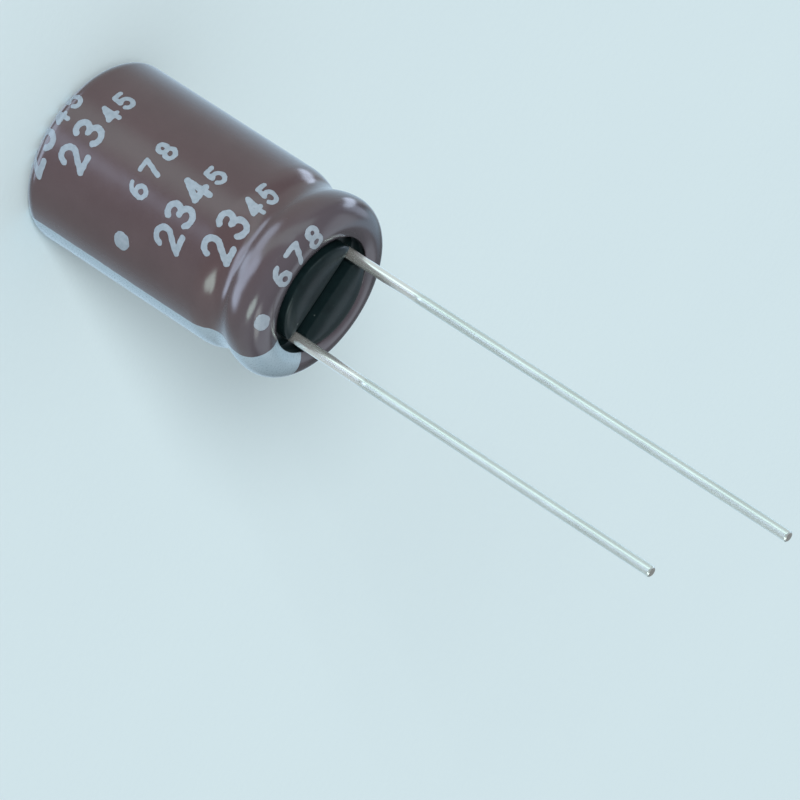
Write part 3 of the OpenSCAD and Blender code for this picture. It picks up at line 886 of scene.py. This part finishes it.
def makeFloor():
    count, z = studio["floorSegments"], studio["floorZ"]
    turns = np.linspace(0, 2 * math.pi, count, endpoint=False)
    vertices = [(0.0, 0.0, z)]
    vertices += [(r * math.cos(a), r * math.sin(a), z) for r in studio["floorRings"] for a in turns]
    faces = [(0, 1 + j, 1 + (j + 1) % count) for j in range(count)]
    for i in range(len(studio["floorRings"]) - 1):
        for j in range(count):
            a, b = 1 + i * count + j, 1 + i * count + (j + 1) % count
            faces.append((a, a + count, b + count, b))
    mesh = bpy.data.meshes.new("floor")
    mesh.from_pydata(vertices, [], faces)
    material = shaped("paleTable", floorNodes, **{"Specular IOR Level": 0.0})
    fadeOut(material)
    mesh.materials.append(material)
    floor = newObject("pale_table", mesh)
    floor.visible_glossy = False


def aim(azimuth, elevation):
    a, e = math.radians(azimuth), math.radians(elevation)
    return (math.cos(a) * math.cos(e), math.sin(a) * math.cos(e), math.sin(e))


def glow(graph, seen, way, light):
    # lays one soft light over the room, between two directions
    first, last, full, outer, tone = light
    start, end = Vector(aim(*first)), Vector(aim(*last))
    span = end - start
    along = graph.vector("SUBTRACT", way, start)
    along = graph.vector("DOT_PRODUCT", along, span / span.length_squared, out="Value")
    along = along.calc("MAXIMUM", 0.0).calc("MINIMUM", 1.0)
    near = graph.vector("MULTIPLY_ADD", graph.joinXyz(along, along, along), span, start)
    gap = graph.vector("DISTANCE", way, graph.vector("NORMALIZE", near), out="Value")
    return graph.mixColour(graph.ramp(gap, math.radians(full), math.radians(outer), 1.0, 0.0), seen, tone)


def makeWorld():
    world = bpy.data.worlds.new("studio")
    bpy.context.scene.world = world
    world.use_nodes = True
    world.node_tree.nodes.clear()
    graph = Graph(world.node_tree)
    way = graph.vector("NORMALIZE", Wire(graph, graph.node("ShaderNodeTexCoord").outputs["Generated"]))
    x, y, z = graph.splitXyz(way)
    below = graph.ramp(z, -0.3, 0.1, 1.0, 0.0)
    side = graph.ramp(x.calc("ABSOLUTE"), 0.3, 0.9) * below
    left = graph.ramp(x, 0.3, -0.9) * below
    behind = graph.ramp(y, 0.1, 0.8)
    above = graph.ramp(z, 0.46, 0.62) * graph.ramp(z, 0.78, 0.92, 1.0, 0.0) * graph.ramp(y, 0.1, 0.45)
    seen = graph.mixColour(side, studio["room"], studio["roomSide"])
    seen = graph.mixColour(left, seen, studio["roomLeft"])
    seen = graph.mixColour(behind * graph.ramp(z, -0.25, -0.05), seen, studio["roomBehind"])
    seen = graph.mixColour(behind * graph.ramp(z, -0.4, -0.15, 1.0, 0.0), seen, studio["roomBehindLow"])
    seen = graph.mixColour(above, seen, studio["roomAbove"])
    for light in studio["glows"]:
        seen = glow(graph, seen, way, light)
    rays = graph.node("ShaderNodeLightPath")
    mirrored = Wire(graph, rays.outputs["Is Glossy Ray"]) + Wire(graph, rays.outputs["Is Transmission Ray"])
    light = graph.mixColour(mirrored.calc("MINIMUM", 1.0), studio["plain"], seen)
    light = graph.mixColour(Wire(graph, rays.outputs["Is Camera Ray"]), light, studio["backdrop"])
    background = graph.add("ShaderNodeBackground", inputs={"Color": light, "Strength": 1.0})
    graph.node("ShaderNodeOutputWorld", inputs={0: background})


def makeKey():
    lamp = bpy.data.lights.new("keyLight", "SUN")
    lamp.energy = studio["keyPower"]
    lamp.angle = math.radians(studio["keyAngle"])
    lamp.color = studio["keyTone"]
    key = bpy.data.objects.new("keyLight", lamp)
    bpy.context.scene.collection.objects.link(key)
    key.rotation_euler = Vector(studio["keyFrom"]).to_track_quat("Z", "Y").to_euler()
    key.visible_glossy = False


# millimetres, degrees, and the focal length in pixels of the 800 pixel frame
camera = {
    "distance": 320.0, "elevation": 27.2999, "azimuth": 0.1995, "roll": 123.265,
    "aimX": 2.2211, "aimZ": 22.7573, "focalPixels": 6487.48, "framePixels": 800, "sensor": 36.0,
    "clip": (0.01, 10.0),  # metres
}


def makeCamera():
    e, a, roll = (math.radians(camera[k]) for k in ("elevation", "azimuth", "roll"))
    back = Vector((math.sin(a) * math.cos(e), -math.cos(a) * math.cos(e), math.sin(e)))
    right = (-back).cross(Vector((0, 0, 1))).normalized()
    up = right.cross(-back)
    turnedRight = right * math.cos(roll) + up * math.sin(roll)
    turnedUp = up * math.cos(roll) - right * math.sin(roll)
    lens = bpy.data.cameras.new("photoCamera")
    lens.sensor_width = camera["sensor"]
    lens.lens = camera["focalPixels"] / camera["framePixels"] * camera["sensor"]
    lens.clip_start, lens.clip_end = camera["clip"]
    view = bpy.data.objects.new("photoCamera", lens)
    bpy.context.scene.collection.objects.link(view)
    place = Matrix((turnedRight, turnedUp, back)).transposed().to_4x4()
    place.translation = (Vector((camera["aimX"], 0, camera["aimZ"])) + back * camera["distance"]) * mm
    view.matrix_world = place
    bpy.context.scene.camera = view


makeFloor()
makeWorld()
makeKey()
makeCamera()
bpy.context.scene.view_settings.view_transform = "Standard"
print("studio made")
